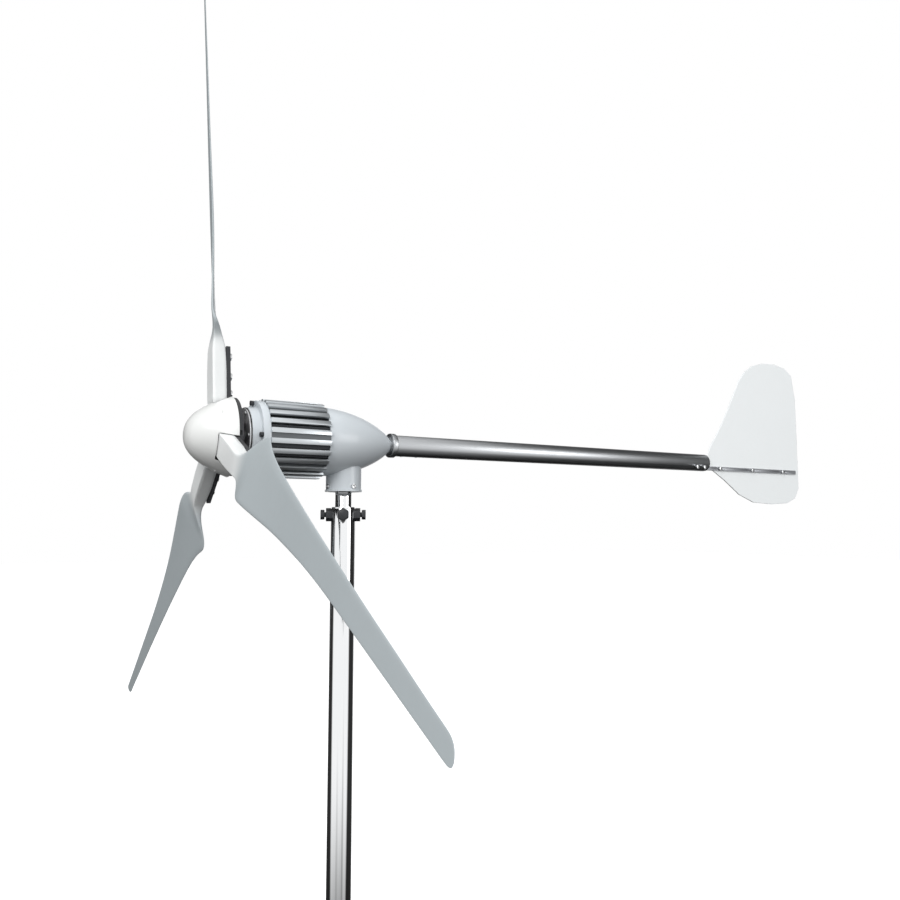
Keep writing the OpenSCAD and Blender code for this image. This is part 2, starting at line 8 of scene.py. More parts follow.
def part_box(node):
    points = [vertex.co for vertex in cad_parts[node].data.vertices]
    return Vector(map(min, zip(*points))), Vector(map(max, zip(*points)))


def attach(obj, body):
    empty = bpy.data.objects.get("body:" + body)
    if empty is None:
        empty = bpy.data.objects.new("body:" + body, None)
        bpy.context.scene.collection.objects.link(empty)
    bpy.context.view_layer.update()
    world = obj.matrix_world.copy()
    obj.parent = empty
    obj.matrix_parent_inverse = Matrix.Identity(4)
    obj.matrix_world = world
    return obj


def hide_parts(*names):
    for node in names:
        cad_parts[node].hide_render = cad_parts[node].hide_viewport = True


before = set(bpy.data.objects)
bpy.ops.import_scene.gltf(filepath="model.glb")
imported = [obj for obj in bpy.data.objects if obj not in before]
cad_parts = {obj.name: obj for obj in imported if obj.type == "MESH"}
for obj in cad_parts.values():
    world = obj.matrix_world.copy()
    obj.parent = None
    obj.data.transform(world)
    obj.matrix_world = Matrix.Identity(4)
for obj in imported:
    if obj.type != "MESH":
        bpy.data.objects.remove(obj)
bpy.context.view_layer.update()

# ---------------------------------------------------------------- camera
# The turbine is seen from close in front of the rotor and a little below its axis,
# so the tail runs away from the viewer and the blades are strongly foreshortened.
shaft_low, shaft_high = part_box("main_shaft")
shaft_z = (shaft_low.z + shaft_high.z) / 2
camera_yaw = math.radians(30.45)
camera_pitch = math.radians(5.35)
camera_data = bpy.data.cameras.new("camera")
camera_data.sensor_width = 36
camera_data.lens = 31.9
camera_data.clip_end = 60
camera = bpy.data.objects.new("camera", camera_data)
bpy.context.scene.collection.objects.link(camera)
camera.location = (-0.631, -1.498, shaft_z - 0.165)
camera.rotation_euler = (math.pi / 2 + camera_pitch, 0, -camera_yaw)
bpy.context.scene.camera = camera

# ---------------------------------------------------------------- studio
# A pale floor and a white room. The room is bright in front of the turbine and dim at its
# sides, as between two black flags, so polished round metal shows a light middle and dark edges.
bpy.ops.object.select_all(action="DESELECT")
bpy.ops.mesh.primitive_plane_add(size=40, location=(0, 0, -0.0005))
floor = bpy.context.object
floor.name = "floor"
floor.visible_glossy = False
floor.visible_diffuse = False
floor_paint = bpy.data.materials.new("floor_paint")
floor_paint.use_nodes = True
floor_shader = floor_paint.node_tree.nodes["Principled BSDF"]
floor_shader.inputs["Base Color"].default_value = (0.93, 0.94, 0.95, 1)
floor_shader.inputs["Roughness"].default_value = 0.9
floor_shader.inputs["Emission Color"].default_value = (1, 1, 1, 1)
floor_shader.inputs["Emission Strength"].default_value = 0.55
floor.data.materials.append(floor_paint)

world = bpy.data.worlds.new("studio")
bpy.context.scene.world = world
world.use_nodes = True
room = world.node_tree.nodes
room_links = world.node_tree.links
direction = room.new("ShaderNodeTexCoord")


def room_glow(toward, dark_at, bright_at, dark, bright):
    """Strength of the room's light, from dark to bright as a direction nears the given one."""
    alignment = room.new("ShaderNodeVectorMath")
    alignment.operation = "DOT_PRODUCT"
    alignment.inputs[1].default_value = Vector(toward).normalized()
    room_links.new(direction.outputs["Generated"], alignment.inputs[0])
    glow = room.new("ShaderNodeMapRange")
    glow.interpolation_type = "SMOOTHSTEP"
    for socket, amount in {"From Min": dark_at, "From Max": bright_at, "To Min": dark, "To Max": bright}.items():
        glow.inputs[socket].default_value = amount
    room_links.new(alignment.outputs["Value"], glow.inputs["Value"])
    return glow.outputs["Result"]


def room_math(operation, a, b):
    step = room.new("ShaderNodeMath")
    step.operation = operation
    room_links.new(a, step.inputs[0])
    room_links.new(b, step.inputs[1])
    return step.outputs["Value"]


def room_choice(ray, otherwise, strength):
    pick = room.new("ShaderNodeMix")
    room_links.new(ray, pick.inputs["Factor"])
    room_links.new(otherwise, pick.inputs["A"])
    if isinstance(strength, float):
        pick.inputs["B"].default_value = strength
    else:
        room_links.new(strength, pick.inputs["B"])
    return pick.outputs["Result"]


viewer_side = Vector((-math.sin(camera_yaw), -math.cos(camera_yaw), 0))
upward = Vector((0, 0, 1))
soft_light = room_glow((-0.62, -0.6, 0.5), -0.5, 0.9, 0.1, 1.03)
soft_light = room_math("MULTIPLY", soft_light, room_glow(upward, -0.7, 0.1, 0.18, 1.0))
mirrored = room_math("MAXIMUM", room_glow(viewer_side, 0.05, 0.35, 0.03, 1.05),
                     room_glow(-viewer_side, 0.8, 0.97, 0.03, 0.6))
mirrored = room_math("MULTIPLY", mirrored, room_glow(upward, -0.75, -0.3, 0.2, 1.0))
light_path = room.new("ShaderNodeLightPath")
strength = room_choice(light_path.outputs["Is Glossy Ray"], soft_light, mirrored)
strength = room_choice(light_path.outputs["Is Camera Ray"], strength, 1.0)
room_links.new(strength, room["Background"].inputs["Strength"])
room["Background"].inputs["Color"].default_value = (1, 1, 1, 1)


def softbox(name, size, power, place, target):
    light = bpy.data.lights.new(name, "AREA")
    light.shape = "RECTANGLE"
    light.size, light.size_y = size
    light.energy = power
    lamp = bpy.data.objects.new(name, light)
    bpy.context.scene.collection.objects.link(lamp)
    lamp.location = place
    lamp.rotation_euler = (Vector(target) - Vector(place)).to_track_quat("-Z", "Y").to_euler()


softbox("key_light", (1.6, 1.4), 47, (-2.2, -2.0, 2.8), (0, 0, shaft_z))
softbox("top_light", (2.0, 3.0), 15, (0.3, 0.3, 3.6), (0.4, 0, shaft_z))
softbox("back_fill", (2.5, 1.5), 12, (1.2, 3.2, 1.8), (0.2, 0, shaft_z))
softbox("fin_light", (1.2, 1.2), 16, (1.9, -2.2, 1.6), (1.3, 0, shaft_z))
bpy.context.scene.view_settings.view_transform = "Standard"

# ---------------------------------------------------------------- mast
# The mast is a polished stainless tube with four black hexagonal nuts welded round its top.
# A black bolt through each nut holds the foot of the turned steel spindle that is sunk in it.


def surface_group():
    """Grain, mottling, settled dust and rubbed edges, shared by every finish of the turbine."""
    group = bpy.data.node_groups.new("surface", "ShaderNodeTree")
    for name, kind in [("Color", "Color"), ("Wear Color", "Color"), ("Roughness", "Float"),
                       ("Grain Scale", "Float"), ("Stretch", "Vector"), ("Grain", "Float"),
                       ("Mottle", "Float"), ("Dust", "Float"), ("Wear", "Float"), ("Wear Radius", "Float")]:
        group.interface.new_socket(name, in_out="INPUT", socket_type="NodeSocket" + kind)
    for name, kind in [("Color", "Color"), ("Roughness", "Float"), ("Height", "Float")]:
        group.interface.new_socket(name, in_out="OUTPUT", socket_type="NodeSocket" + kind)
    nodes, links = group.nodes, group.links
    given = nodes.new("NodeGroupInput").outputs
    result = nodes.new("NodeGroupOutput").inputs
    place = nodes.new("ShaderNodeTexCoord").outputs["Object"]

    def value(operation, a, b):
        step = nodes.new("ShaderNodeMath")
        step.operation = operation
        for socket, source in zip(step.inputs, (a, b)):
            if isinstance(source, float):
                socket.default_value = source
            else:
                links.new(source, socket)
        return step.outputs["Value"]

    def noise(scale, where, detail):
        pattern = nodes.new("ShaderNodeTexNoise")
        pattern.inputs["Detail"].default_value = detail
        pattern.inputs["Roughness"].default_value = 0.62
        links.new(where, pattern.inputs["Vector"])
        if isinstance(scale, float):
            pattern.inputs["Scale"].default_value = scale
        else:
            links.new(scale, pattern.inputs["Scale"])
        return pattern.outputs["Fac"]

    def remap(source, low, high):
        step = nodes.new("ShaderNodeMapRange")
        step.inputs["From Min"].default_value = low
        step.inputs["From Max"].default_value = high
        links.new(source, step.inputs["Value"])
        return step.outputs["Result"]

    def tint(factor, color, other, mode="MIX"):
        step = nodes.new("ShaderNodeMix")
        step.data_type = "RGBA"
        step.blend_type = mode
        links.new(factor, step.inputs[0])
        links.new(color, step.inputs[6])
        if isinstance(other, tuple):
            step.inputs[7].default_value = other
        else:
            links.new(other, step.inputs[7])
        return step.outputs[2]

    stretched = nodes.new("ShaderNodeVectorMath")
    stretched.operation = "MULTIPLY"
    links.new(place, stretched.inputs[0])
    links.new(given["Stretch"], stretched.inputs[1])
    grain = noise(given["Grain Scale"], stretched.outputs["Vector"], 3)
    mottle = noise(9.0, place, 4)
    specks = noise(260.0, place, 2)

    color = tint(value("MULTIPLY", given["Mottle"], remap(mottle, 0.35, 0.75)), given["Color"],
                 (0.55, 0.55, 0.53, 1), "MULTIPLY")
    color = tint(value("MULTIPLY", given["Grain"], remap(grain, 0.4, 0.8)), color, (0.7, 0.7, 0.7, 1), "MULTIPLY")
    rounded = nodes.new("ShaderNodeBevel")
    rounded.samples = 4
    links.new(given["Wear Radius"], rounded.inputs["Radius"])
    shape = nodes.new("ShaderNodeNewGeometry").outputs
    facing = nodes.new("ShaderNodeVectorMath")
    facing.operation = "DOT_PRODUCT"
    links.new(rounded.outputs["Normal"], facing.inputs[0])
    links.new(shape["True Normal"], facing.inputs[1])
    edge = remap(value("SUBTRACT", 1.0, facing.outputs["Value"]), 0.03, 0.25)
    rubbed = value("MULTIPLY", value("MULTIPLY", edge, remap(specks, 0.42, 0.62)), given["Wear"])
    color = tint(rubbed, color, given["Wear Color"])
    slope = nodes.new("ShaderNodeSeparateXYZ")
    links.new(shape["Normal"], slope.inputs["Vector"])
    dusty = value("MULTIPLY", remap(slope.outputs["Z"], 0.35, 1.0), remap(mottle, 0.3, 0.7))
    dusty = value("MULTIPLY", dusty, given["Dust"])
    color = tint(dusty, color, (0.62, 0.6, 0.56, 1))
    uneven = value("MULTIPLY", value("SUBTRACT", mottle, 0.5), value("MULTIPLY", given["Mottle"], 0.5))
    rough = value("ADD", given["Roughness"], uneven)
    rough = value("ADD", rough, value("MULTIPLY", value("SUBTRACT", grain, 0.5), given["Grain"]))
    rough = value("ADD", rough, value("MULTIPLY", dusty, 0.5))
    links.new(color, result["Color"])
    links.new(rough, result["Roughness"])
    links.new(grain, result["Height"])
    return group


surface = surface_group()


def finish(name, color, roughness, metallic=0.0, coat=0.0, grain_scale=400.0, stretch=(1, 1, 1), grain=0.12,
           relief=0.0001, mottle=0.1, dust=0.08, wear=0.2, wear_color=(0.6, 0.6, 0.6), wear_radius=0.0008):
    """A material whose colour, roughness and relief come from the surface group."""
    material = bpy.data.materials.new(name)
    material.use_nodes = True
    nodes, links = material.node_tree.nodes, material.node_tree.links
    shader = nodes["Principled BSDF"].inputs
    shader["Metallic"].default_value = metallic
    shader["Coat Weight"].default_value = coat
    shader["Coat Roughness"].default_value = 0.08
    effects = nodes.new("ShaderNodeGroup")
    effects.name = "effects"
    effects.node_tree = surface
    for socket, amount in {"Color": (*color, 1), "Wear Color": (*wear_color, 1), "Roughness": roughness,
                           "Grain Scale": grain_scale, "Stretch": stretch, "Grain": grain, "Mottle": mottle,
                           "Dust": dust, "Wear": wear, "Wear Radius": wear_radius}.items():
        effects.inputs[socket].default_value = amount
    bump = nodes.new("ShaderNodeBump")
    bump.inputs["Strength"].default_value = 0.6
    bump.inputs["Distance"].default_value = relief
    links.new(effects.outputs["Height"], bump.inputs["Height"])
    links.new(effects.outputs["Color"], shader["Base Color"])
    links.new(effects.outputs["Roughness"], shader["Roughness"])
    links.new(bump.outputs["Normal"], shader["Normal"])
    return material


def dress(material, *nodes):
    """Gives nodes that keep their own shape their finish."""
    for name in nodes:
        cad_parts[name].data.materials.clear()
        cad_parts[name].data.materials.append(material)


def select_only(piece):
    bpy.ops.object.select_all(action="DESELECT")
    piece.select_set(True)
    bpy.context.view_layer.objects.active = piece


def settle(piece, name, material, body, *nodes):
    """Names a finished piece, and says its finish, its body and the nodes that it stands for."""
    piece.name = name
    piece.data.materials.clear()
    piece.data.materials.append(material)
    dress(material, *nodes)
    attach(piece, body)
    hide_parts(*nodes)


def merged_copy(node):
    """A copy of a node's solid as one joined mesh, ready for work on its edges and faces."""
    piece = bpy.data.objects.new(node + "_copy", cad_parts[node].data.copy())
    bpy.context.scene.collection.objects.link(piece)
    piece.data.transform(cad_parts[node].matrix_world)
    select_only(piece)
    bpy.ops.object.mode_set(mode="EDIT")
    bpy.ops.mesh.select_all(action="SELECT")
    bpy.ops.mesh.remove_doubles(threshold=0.00001)
    bpy.ops.mesh.dissolve_limited(angle_limit=math.radians(0.6))
    bpy.ops.object.mode_set(mode="OBJECT")
    return piece


def round_edges(piece, width, sharp=32):
    select_only(piece)
    bevel = piece.modifiers.new("bevel", "BEVEL")
    bevel.width = width
    bevel.segments = 2
    bevel.limit_method = "ANGLE"
    bevel.angle_limit = math.radians(sharp)
    bpy.ops.object.modifier_apply(modifier="bevel")
    bpy.ops.object.shade_smooth_by_angle(angle=math.radians(sharp))


def eased(material, body, widths):
    """Machined parts keep their exact shape but lose their razor edges."""
    for node, width in widths.items():
        piece = merged_copy(node)
        round_edges(piece, width)
        settle(piece, node + "_eased", material, body, node)


polished_steel = finish("polished_steel", (0.86, 0.87, 0.88), 0.07, metallic=1.0, grain_scale=60,
                        stretch=(6, 6, 0.4), grain=0.03, relief=0.00001, mottle=0.05, dust=0.0, wear=0.0)
black_steel = finish("black_steel", (0.022, 0.024, 0.028), 0.42, grain_scale=700, grain=0.08, relief=0.0001,
                     mottle=0.12, dust=0.08, wear=0.18, wear_color=(0.2, 0.2, 0.21))
eased(polished_steel, "mast", {"mast_tube": 0.0006, "yaw_spindle": 0.0008})
eased(black_steel, "mast", {"mast_weld_nuts": 0.0012, "mast_bolts": 0.0008})

# ---------------------------------------------------------------- yaw bearings and slip rings
# Hidden in the boss: ground bearings and their nut on the spindle, and above them three
# copper rings on an insulating drum that hand the current to the fixed mast.
bearing_steel = finish("bearing_steel", (0.62, 0.62, 0.63), 0.16, metallic=1.0, grain=0.04, dust=0.0)
plain_steel = finish("plain_steel", (0.5, 0.51, 0.52), 0.32, metallic=1.0, grain_scale=200, stretch=(8, 1, 1),
                     dust=0.0)
insulator = finish("insulator", (0.15, 0.14, 0.12), 0.5, grain_scale=600, grain=0.2, dust=0.0)
copper = finish("copper", (0.7, 0.33, 0.16), 0.3, metallic=1.0, grain_scale=500, grain=0.2, dust=0.0)
rubber = finish("rubber", (0.016, 0.016, 0.017), 0.62, grain_scale=500, grain=0.3, dust=0.1, wear=0.1,
                wear_color=(0.1, 0.1, 0.1))
dress(bearing_steel, "yaw_bearing_inner_races", "yaw_bearing_outer_races", "yaw_bearing_balls", "yaw_nut")
dress(plain_steel, "yaw_cartridge")
dress(insulator, "slip_ring_drum", "brush_holder")
dress(copper, "slip_rings")
dress(rubber, "yaw_seal")
dress(finish("carbon", (0.02, 0.02, 0.021), 0.55, grain_scale=900, grain=0.4, dust=0.0), "brushes")
dress(bearing_steel, "brush_springs")
dress(finish("lead_insulation", (0.42, 0.035, 0.03), 0.42, grain=0.1, dust=0.0, wear=0.0), "phase_leads")

# ---------------------------------------------------------------- rear cover
# The rear cover is a light grey powder-coated casting, a long blunt bullet that closes the back
# of the generator. The round yaw boss is cast on under it and the boom spigot fills its tip.
cover_low, cover_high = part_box("rear_cover")
cone_x0, cone_x1 = cover_low.x, cover_high.x
boss_bottom = cover_low.z
cone_r = 0.069
cone_length = 0.166
cone_curve = 1.9
cone_fullness = 1.4
cone_wall = 0.0035
cone_overlap = 0.001
round_sides = 144
boss_r = 0.0355
boss_height = 0.061
boss_lip_height = 0.004
boss_lip_reach = 0.0015
boss_bore_r = 0.03005
spigot_bore_r = 0.01505
hollow_end_x = 0.062
bore_depth = 0.08
boss_bore_middle = boss_bottom + 0.03


def cone_radius(x):
    share = max(0.0, (x - cone_x0 + cone_overlap) / cone_length)
    return cone_r * (1 - share ** cone_curve) ** (1 / cone_fullness)


def spun_cone(start, end, inset, rings):
    """A closed bullet about the shaft axis, drawn out ring by ring."""
    bpy.ops.object.select_all(action="DESELECT")
    radius = cone_radius(cone_x0) - inset
    bpy.ops.mesh.primitive_circle_add(vertices=round_sides, radius=radius, fill_type="NGON",
                                      location=(start, 0, shaft_z), rotation=(0, math.pi / 2, 0))
    bpy.ops.object.transform_apply(location=True, rotation=True, scale=True)
    bpy.ops.object.mode_set(mode="EDIT")
    bpy.ops.mesh.select_all(action="SELECT")
    step = (end - start) / rings
    for i in range(1, rings + 1):
        ring_x = start + step * i
        next_radius = cone_radius(ring_x) - inset
        size = next_radius / radius
        bpy.ops.mesh.extrude_region_move(TRANSFORM_OT_translate={"value": (step, 0, 0)})
        bpy.ops.transform.resize(value=(1, size, size), center_override=(ring_x, 0, shaft_z))
        radius = next_radius
    bpy.ops.mesh.select_all(action="SELECT")
    bpy.ops.mesh.normals_make_consistent(inside=False)
    bpy.ops.object.mode_set(mode="OBJECT")
    return bpy.context.object


def drum(radius, depth, place, along_x=False, sides=96):
    bpy.ops.object.select_all(action="DESELECT")
    bpy.ops.mesh.primitive_cylinder_add(vertices=sides, radius=radius, depth=depth, location=place,
                                        rotation=(0, math.pi / 2 if along_x else 0, 0))
    return bpy.context.object


def combine(piece, other, operation):
    """Joins another shape to a piece, or cuts it out of the piece."""
    select_only(piece)
    step = piece.modifiers.new("combine", "BOOLEAN")
    step.object = other
    step.operation = operation
    bpy.ops.object.modifier_apply(modifier="combine")
    bpy.data.objects.remove(other)


cover = spun_cone(cone_x0, cone_x1, 0, rings=30)
combine(cover, drum(boss_r, boss_height, (0, 0, boss_bottom + boss_height / 2)), "UNION")
lip_place = (0, 0, boss_bottom + boss_lip_height / 2)
combine(cover, drum(boss_r + boss_lip_reach, boss_lip_height, lip_place), "UNION")
combine(cover, spun_cone(cone_x0 - cone_overlap, hollow_end_x, cone_wall, rings=12), "DIFFERENCE")
combine(cover, drum(boss_bore_r, bore_depth, (0, 0, boss_bore_middle)), "DIFFERENCE")
combine(cover, drum(spigot_bore_r, bore_depth, (cone_x1, 0, shaft_z), along_x=True), "DIFFERENCE")
select_only(cover)
bpy.ops.object.shade_smooth_by_angle(angle=math.radians(28))
cover_paint = finish("white_casting", (0.62, 0.665, 0.7), 0.36, coat=0.25, grain_scale=900, grain=0.04,
                     relief=0.00006, mottle=0.06, dust=0.03, wear=0.2, wear_color=(0.72, 0.73, 0.74))
settle(cover, "rear_cover_casting", cover_paint, "nacelle", "rear_cover")
zinc_steel = finish("zinc_steel", (0.6, 0.61, 0.62), 0.3, metallic=1.0, grain_scale=300, grain=0.1, mottle=0.25,
                    dust=0.05)
eased(zinc_steel, "nacelle", {"yaw_screws": 0.0005})
dress(zinc_steel, "rear_cover_screws")

# ---------------------------------------------------------------- generator housing
# The housing is a brushed aluminium extrusion with broad cooling fins. Its front cover is a grey
# casting; a machined bearing cap sits on a black gasket in front, held by small zinc screws.
rib_metal = (0.6, 0.635, 0.66)
# Painted shade: the grooves between the fins are coloured near black where deep grooves fall in shade, and the
# fin tops keep the bare metal colour.
groove_painted_shade = (0.035, 0.038, 0.042)
groove_shade_r, rib_bright_r = 0.0695, 0.0738
finned_aluminium = finish("finned_aluminium", rib_metal, 0.34, metallic=0.85, grain_scale=140,
                          stretch=(0.4, 8, 8), grain=0.1, relief=0.00002, mottle=0.08, dust=0.04, wear=0.35,
                          wear_color=(0.75, 0.76, 0.77))
machined_aluminium = finish("machined_aluminium", (0.74, 0.75, 0.77), 0.3, metallic=0.7, grain_scale=300,
                            mottle=0.06, dust=0.02)


def color_by_radius(material, inner, outer, start, end):
    """Colours a material by its distance from the shaft axis, fading from inner to outer."""
    nodes, links = material.node_tree.nodes, material.node_tree.links
    around_shaft = nodes.new("ShaderNodeVectorMath")
    around_shaft.operation = "SUBTRACT"
    around_shaft.inputs[1].default_value = (0, 0, shaft_z)
    across = nodes.new("ShaderNodeVectorMath")
    across.operation = "MULTIPLY"
    across.inputs[1].default_value = (0, 1, 1)
    distance = nodes.new("ShaderNodeVectorMath")
    distance.operation = "LENGTH"
    fade = nodes.new("ShaderNodeMapRange")
    fade.interpolation_type = "SMOOTHSTEP"
    fade.inputs["From Min"].default_value = start
    fade.inputs["From Max"].default_value = end
    mixed = nodes.new("ShaderNodeMix")
    mixed.data_type = "RGBA"
    mixed.inputs[6].default_value = (*inner, 1)
    mixed.inputs[7].default_value = (*outer, 1)
    links.new(nodes.new("ShaderNodeTexCoord").outputs["Object"], around_shaft.inputs[0])
    links.new(around_shaft.outputs["Vector"], across.inputs[0])
    links.new(across.outputs["Vector"], distance.inputs[0])
    links.new(distance.outputs["Value"], fade.inputs["Value"])
    links.new(fade.outputs["Result"], mixed.inputs[0])
    links.new(mixed.outputs[2], nodes["effects"].inputs["Color"])


# Painted shade in the grooves: near black close to the fin roots, fading to the bare aluminium towards the fin
# tops.
color_by_radius(finned_aluminium, groove_painted_shade, rib_metal, groove_shade_r, rib_bright_r)
eased(finned_aluminium, "nacelle", {"finned_housing": 0.0006})
eased(cover_paint, "nacelle", {"front_cover": 0.001})
eased(black_steel, "nacelle", {"front_cover_screws": 0.0006})
eased(machined_aluminium, "nacelle", {"bearing_cap": 0.0006})
eased(zinc_steel, "nacelle", {"cap_screws": 0.0004})
dress(machined_aluminium, "rear_plate")
dress(rubber, "cap_gasket", "shaft_seal")

# ---------------------------------------------------------------- generator inside
# Stacked laminations carry the enamelled windings; the rotor inside them carries nickel-plated
# magnets on the turned shaft, which runs in two ball bearings.
laminations = finish("laminations", (0.2, 0.2, 0.21), 0.5, metallic=0.7, grain_scale=60, stretch=(30, 0.3, 0.3),
                     grain=0.4, relief=0.0003, dust=0.0)
dress(laminations, "stator_core", "magnet_rotor")
dress(copper, "stator_windings")
dress(finish("magnet_nickel", (0.62, 0.6, 0.56), 0.2, metallic=1.0, grain=0.05, dust=0.0), "magnets")
dress(bearing_steel, "shaft_bearing_outer_races", "shaft_bearing_balls", "shaft_bearing_inner_races")
dress(plain_steel, "main_shaft")

# ---------------------------------------------------------------- tail boom
# The boom is a brushed steel tube pushed over a spigot and locked by two screws under a turned
# collar. A black moulded plug closes its far end, where two flat bars are let into a slot.
boom_steel = finish("boom_steel", (0.5, 0.515, 0.53), 0.36, metallic=1.0, grain_scale=90, stretch=(0.5, 9, 9),
                    grain=0.06, relief=0.00001, mottle=0.08, dust=0.03, wear=0.2)
bar_steel = finish("bar_steel", (0.34, 0.35, 0.37), 0.42, metallic=1.0, grain_scale=120, stretch=(0.6, 6, 6),
                   mottle=0.2, dust=0.05)
black_plastic = finish("black_plastic", (0.02, 0.02, 0.022), 0.45, grain_scale=800, grain=0.2, dust=0.08,
                       wear=0.15, wear_color=(0.2, 0.2, 0.2))
eased(boom_steel, "nacelle", {"tail_boom": 0.0004, "boom_collar": 0.0007})
eased(black_plastic, "nacelle", {"boom_end_plug": 0.0006})
eased(bar_steel, "nacelle", {"fin_bar_left": 0.0004, "fin_bar_right": 0.0004})
eased(zinc_steel, "nacelle", {"fin_bolts": 0.0005, "fin_nuts": 0.0005, "boom_screws": 0.0003})
dress(plain_steel, "boom_spigot")
dress(zinc_steel, "spigot_nut")

# ---------------------------------------------------------------- tail fin
# The fin is one glossy, very pale moulded sheet with rounded edges. Its foot is clamped between
# the two flat bars by through bolts.
fin = merged_copy("tail_fin")
round_edges(fin, 0.0012, sharp=40)
bpy.ops.object.shade_smooth_by_angle(angle=math.radians(12))
fin_sheet = finish("fin_sheet", (0.88, 0.91, 0.92), 0.24, coat=0.3, grain_scale=120, grain=0.03, relief=0.00002,
                   mottle=0.03, dust=0.02, wear=0.05)
settle(fin, "tail_fin_moulding", fin_sheet, "nacelle", "tail_fin")

# ---------------------------------------------------------------- hub
# The hub is a black powder-coated steel disc with a three-armed plate on its front. Bolts from
# behind pass through each arm into threaded inserts in the blade roots.
eased(black_steel, "rotor", {"hub_plate": 0.0008, "spinner_screws": 0.0005})
eased(zinc_steel, "rotor", {"blade_bolts": 0.0006, "blade_washers": 0.0003})
dress(zinc_steel, "hub_washer", "hub_nut")
dress(copper, "blade_inserts")

# ---------------------------------------------------------------- spinner
# The nose dome is one glossy white moulding with a blunt, slightly pointed curve. Its skirt has
# a notch for each blade root, and three pillars inside take the screws that come from the hub.
spinner_low, spinner_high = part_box("spinner")
nose_x, rim_x = spinner_low.x, spinner_high.x
rotor_phase = math.radians(-8)
root_width = 0.044
root_depth = 0.026
root_front = -0.268
spinner_r = 0.0765
spinner_wall = 0.0025
spinner_curve = 0.41
spinner_rings = 34
notch_lead_gap = 0.008
notch_trail_gap = 0.0015
notch_middle = (notch_trail_gap - notch_lead_gap) / 2
notch_size = (0.06, root_width + notch_lead_gap + notch_trail_gap, 0.07)
notch_front_gap = 0.0006
notch_ring_r = 0.065
pillar_r = 0.0055
pillar_ring_r = 0.062
pillar_x0, pillar_x1 = -0.2605, -0.2345

bpy.ops.object.select_all(action="DESELECT")
bpy.ops.mesh.primitive_circle_add(vertices=round_sides, radius=spinner_r, fill_type="NOTHING",
                                  location=(rim_x, 0, shaft_z), rotation=(0, math.pi / 2, 0))
spinner = bpy.context.object
bpy.ops.object.transform_apply(location=True, rotation=True, scale=True)
bpy.ops.object.mode_set(mode="EDIT")
bpy.ops.mesh.select_all(action="SELECT")
ring_x, ring_r = rim_x, spinner_r
for i in range(spinner_rings - 1, 0, -1):
    share = (i / spinner_rings) ** 2
    next_x = nose_x + (rim_x - nose_x) * share
    next_r = spinner_r * share ** spinner_curve
    size = next_r / ring_r
    bpy.ops.mesh.extrude_region_move(TRANSFORM_OT_translate={"value": (next_x - ring_x, 0, 0)})
    bpy.ops.transform.resize(value=(1, size, size), center_override=(next_x, 0, shaft_z))
    ring_x, ring_r = next_x, next_r
bpy.ops.mesh.extrude_region_move(TRANSFORM_OT_translate={"value": (nose_x - ring_x, 0, 0)})
bpy.ops.mesh.merge(type="CENTER")
bpy.ops.mesh.select_all(action="SELECT")
bpy.ops.mesh.normals_make_consistent(inside=False)
bpy.ops.object.mode_set(mode="OBJECT")
wall = spinner.modifiers.new("wall", "SOLIDIFY")
wall.thickness = spinner_wall
wall.offset = -1
bpy.ops.object.modifier_apply(modifier="wall")
bpy.ops.object.mode_set(mode="EDIT")
bpy.ops.mesh.select_all(action="SELECT")
bpy.ops.mesh.normals_make_consistent(inside=False)
bpy.ops.object.mode_set(mode="OBJECT")

for i in range(3):
    turn = rotor_phase + i * 2 * math.pi / 3
    place = Vector((root_front - notch_front_gap + notch_size[0] / 2, 0, shaft_z))
    place += Matrix.Rotation(turn, 3, "X") @ Vector((0, notch_middle, notch_ring_r))
    bpy.ops.object.select_all(action="DESELECT")
    bpy.ops.mesh.primitive_cube_add(size=1, location=place, rotation=(turn, 0, 0), scale=notch_size)
    bpy.ops.object.transform_apply(location=True, rotation=True, scale=True)
    bpy.ops.object.mode_set(mode="EDIT")
    bpy.ops.mesh.select_all(action="SELECT")
    bpy.ops.mesh.bevel(offset=0.004, segments=4)
    bpy.ops.object.mode_set(mode="OBJECT")
    combine(spinner, bpy.context.object, "DIFFERENCE")
    place = Vector(((pillar_x0 + pillar_x1) / 2, 0, shaft_z))
    place += Matrix.Rotation(turn + math.pi / 3, 3, "X") @ Vector((0, 0, pillar_ring_r))
    combine(spinner, drum(pillar_r, pillar_x1 - pillar_x0, place, along_x=True, sides=32), "UNION")
round_edges(spinner, 0.0006, sharp=40)
spinner_white = finish("spinner_white", (0.8, 0.81, 0.8), 0.28, coat=0.35, grain_scale=150, grain=0.02,
                       relief=0.00001, mottle=0.03, dust=0.03, wear=0.1)
settle(spinner, "spinner_dome", spinner_white, "rotor", "spinner")

# ---------------------------------------------------------------- blades
# Each blade is one fibre-filled moulding: a square white root block that is bolted to a hub arm,
# a square shoulder on the leading side, a rounded hump on the trailing side, and then a slim
# grey twisted foil that leans forward to a raked, rounded tip.
root_start = 0.056
block_x = root_front + root_depth / 2
block_end = 0.169
shoulder_start, foil_start = 0.175, 0.237
white_until, grey_from = 0.172, 0.215
columns = 10
thinning_steps = 6
